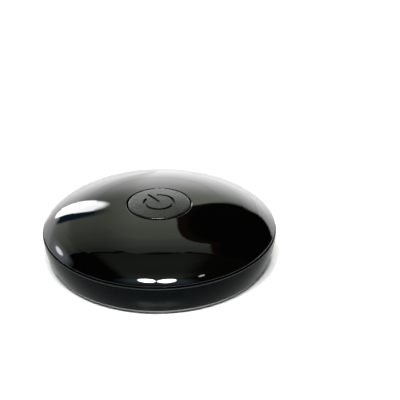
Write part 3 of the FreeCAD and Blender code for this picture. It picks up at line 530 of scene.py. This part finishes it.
def button_satin():
    """Spark-eroded grain, with painted highlights making the edges paler, and painted shade
    darkening the sunk symbol.
    """
    s = moulded(
        "button_satin",
        colour=(0.0025, 0.0027, 0.0028),
        shade=1.6,
        roughness=(0.24, 0.36),
        grain=0.26 * MM,
        depth=0.016 * MM,
    )
    n = s.n
    x, y, z = n.node("ShaderNodeSeparateXYZ", {0: s.place}).outputs
    squared = n.plus(n.times(x, x), n.times(y, y))
    sag = n.times(squared, 0.5 / CAP_CROWN_R)
    depth = n.minus(n.minus(CAP_TOP_Z, sag), z)
    inside = n.ramp(squared, SYMBOL_R**2, (SYMBOL_R + 0.2 * MM) ** 2, 1.0, 0.0)
    # painted shade: the floor of the sunk symbol is darkened
    groove_shade = n.times(n.ramp(depth, 0.06 * MM, 0.16 * MM), inside)
    # painted highlight: the sharp edges are made paler, in patches
    tint_towards(s, s.patchy(s.edges(0.05 * MM), 0.3 * MM), (0.09, 0.09, 0.092), 0.5)
    tint_towards(s, groove_shade, (0.0008, 0.0008, 0.0008), 1.0)
    s.link("Specular IOR Level", 0.5)
    return s.material


def foot_rubber():
    """Matt black rubber with dust in its grain."""
    s = moulded(
        "foot_rubber",
        colour=(0.012, 0.012, 0.012),
        shade=1.6,
        roughness=(0.6, 0.8),
        grain=0.06 * MM,
        depth=0.004 * MM,
    )
    dust = s.n.ramp(s.n.noise(s.place, 0.25 * MM, 4.0), 0.6, 0.75)
    tint_towards(s, dust, (0.09, 0.085, 0.08), 0.35)
    return s.material


def seal_silicone():
    """Translucent grey silicone."""
    s = moulded(
        "seal_silicone",
        colour=(0.14, 0.14, 0.15),
        shade=1.2,
        roughness=(0.4, 0.6),
        grain=0.08 * MM,
        depth=0.002 * MM,
    )
    s.link("Subsurface Weight", 0.2)
    s.link("Subsurface Scale", 0.3 * MM)
    return s.material


def screw_steel():
    """Blackened steel, bare and bright in patches along its edges, from wear."""
    black = (0.09, 0.09, 0.1)
    s = metal("screw_steel", black, roughness=(0.28, 0.45), streak=(1, 1, 0.2), size=0.08 * MM)
    bare = s.patchy(s.edges(0.05 * MM), 0.15 * MM)
    s.link("Base Color", s.n.mix(s.n.times(bare, 0.7), opaque(black), (0.55, 0.54, 0.52, 1.0)))
    return s.material


def contact_steel():
    s = metal(
        "contact_steel",
        colour=(0.72, 0.7, 0.66),
        roughness=(0.2, 0.38),
        streak=(1, 12, 1),
        size=0.2 * MM,
    )
    return s.material


def switch_plastic():
    s = moulded(
        "switch_plastic",
        colour=(0.03, 0.03, 0.031),
        shade=1.3,
        roughness=(0.4, 0.55),
        grain=0.07 * MM,
        depth=0.002 * MM,
    )
    return s.material


def board_mask():
    """Green solder mask: copper shows through it in places as a grid of paler, raised lines."""
    s = Surface("board_mask", Coat_Weight=0.4, Coat_Roughness=0.12)
    n = s.n
    inputs = {"Vector": s.place, "Scale": 900.0, "Mortar Size": 0.03}
    inputs.update({"Color1": grey(0), "Color2": grey(0), "Mortar": grey(1)})
    lines = n.ramp(n.add("ShaderNodeTexBrick", inputs), 0.3, 0.7)
    zones = n.ramp(n.noise(s.place, 5 * MM, 1.0), 0.47, 0.53)
    lines = n.times(lines, zones)
    cloud = n.ramp(n.noise(s.place, 1.2 * MM, 3.0), 0.3, 0.7)
    green = n.mix(cloud, (0.006, 0.07, 0.03, 1.0), (0.008, 0.09, 0.038, 1.0))
    s.link("Base Color", n.mix(lines, green, (0.03, 0.2, 0.08, 1.0)))
    s.link("Roughness", n.ramp(cloud, 0.0, 1.0, 0.25, 0.35))
    s.bump(lines, 0.02 * MM)
    return s.material


def pad_gold():
    s = metal(
        "pad_gold",
        colour=(0.9, 0.66, 0.28),
        roughness=(0.18, 0.35),
        streak=(1, 1, 1),
        size=0.1 * MM,
    )
    return s.material


def chip_resin():
    s = moulded(
        "chip_resin",
        colour=(0.018, 0.018, 0.019),
        shade=1.4,
        roughness=(0.45, 0.6),
        grain=0.04 * MM,
        depth=0.003 * MM,
    )
    return s.material


def part_ceramic():
    """Fired ceramic."""
    s = moulded(
        "part_ceramic",
        colour=(0.42, 0.3, 0.19),
        shade=0.85,
        roughness=(0.35, 0.5),
        grain=0.05 * MM,
        depth=0.002 * MM,
    )
    return s.material


def can_metal():
    s = metal(
        "can_metal",
        colour=(0.62, 0.62, 0.6),
        roughness=(0.22, 0.4),
        streak=(8, 1, 1),
        size=0.15 * MM,
    )
    return s.material


def cell_steel():
    """Nickel-plated steel with turned rings on its faces."""
    s = metal(
        "cell_steel",
        colour=(0.68, 0.67, 0.64),
        roughness=(0.16, 0.3),
        streak=(1, 1, 1),
        size=0.3 * MM,
        dark=0.85,
    )
    inputs = {"Vector": s.place, "Scale": 1500.0, "Distortion": 0.5}
    rings = s.n.add("ShaderNodeTexWave", inputs, wave_type="RINGS", rings_direction="Z")
    s.bump(rings, 0.002 * MM)
    return s.material


def cell_polymer():
    s = moulded(
        "cell_polymer",
        colour=(0.5, 0.48, 0.42),
        shade=0.9,
        roughness=(0.4, 0.55),
        grain=0.08 * MM,
        depth=0.002 * MM,
    )
    return s.material


def cell_pellet():
    """Pressed black powder."""
    s = moulded(
        "cell_pellet",
        colour=(0.03, 0.03, 0.031),
        shade=1.8,
        roughness=(0.8, 0.95),
        grain=0.05 * MM,
        depth=0.01 * MM,
    )
    return s.material


def cradle_plastic():
    """Pale plastic that lets a little light in."""
    s = moulded(
        "cradle_plastic",
        colour=(0.6, 0.6, 0.57),
        shade=0.92,
        roughness=(0.38, 0.52),
        grain=0.12 * MM,
        depth=0.003 * MM,
    )
    s.link("Subsurface Weight", 0.15)
    s.link("Subsurface Scale", 0.4 * MM)
    return s.material


def coil_copper():
    """Fine enamelled wire, wound in even turns about the vertical."""
    s = metal(
        "coil_copper",
        colour=(0.75, 0.33, 0.16),
        roughness=(0.18, 0.3),
        streak=(1, 1, 1),
        size=0.1 * MM,
    )
    inputs = {"Vector": s.place, "Scale": 4000.0}
    turns = s.n.add("ShaderNodeTexWave", inputs, wave_type="BANDS", bands_direction="Z")
    s.bump(turns, 0.03 * MM)
    return s.material


def port_fabric():
    """A fine woven mesh."""
    s = moulded(
        "port_fabric",
        colour=(0.03, 0.03, 0.03),
        shade=1.5,
        roughness=(0.6, 0.8),
        grain=0.05 * MM,
        depth=0.002 * MM,
    )
    inputs = {"Vector": s.place, "Scale": 3500.0}
    for axis in ("X", "Y"):
        weave = s.n.add("ShaderNodeTexWave", inputs, wave_type="BANDS", bands_direction=axis)
        s.bump(weave, 0.02 * MM)
    return s.material


SURFACES = (
    cover_gloss,
    shell_satin,
    button_satin,
    foot_rubber,
    seal_silicone,
    screw_steel,
    contact_steel,
    switch_plastic,
    board_mask,
    pad_gold,
    chip_resin,
    part_ceramic,
    can_metal,
    cell_steel,
    cell_polymer,
    cell_pellet,
    cradle_plastic,
    coil_copper,
    port_fabric,
)


def dress_nodes():
    """Gives each CAD node the material of its slot."""
    made = {surface.__name__: surface() for surface in SURFACES}
    for part in frame["record"]["subparts"]:
        for material_slot in frame["nodes"][part["node"]].material_slots:
            material_slot.material = made[part["material_slot"]]


def make_pressed_dome():
    """The snap dome as a piece of its own, attached to the housing."""
    node = frame["nodes"]["snap_dome"]
    dome = bpy.data.objects.new("pressed_dome", node.data.copy())
    bpy.context.scene.collection.objects.link(dome)
    dome.matrix_world = node.matrix_world
    for mine, its in zip(dome.material_slots, node.material_slots):
        mine.material = its.material
    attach(dome, "housing")
    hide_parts("snap_dome")
    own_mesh(dome)


# ---------------------------------------------------------------- scene


make_camera()
make_room()
area_light("table_light_front", az=180, el=62, distance=0.9, size=0.6, power=1.4)
area_light("table_light_top", az=0, el=80, distance=0.9, size=1.4, power=2.2)
make_table()
dress_nodes()
make_pressed_dome()
bpy.context.scene.view_settings.view_transform = "Standard"
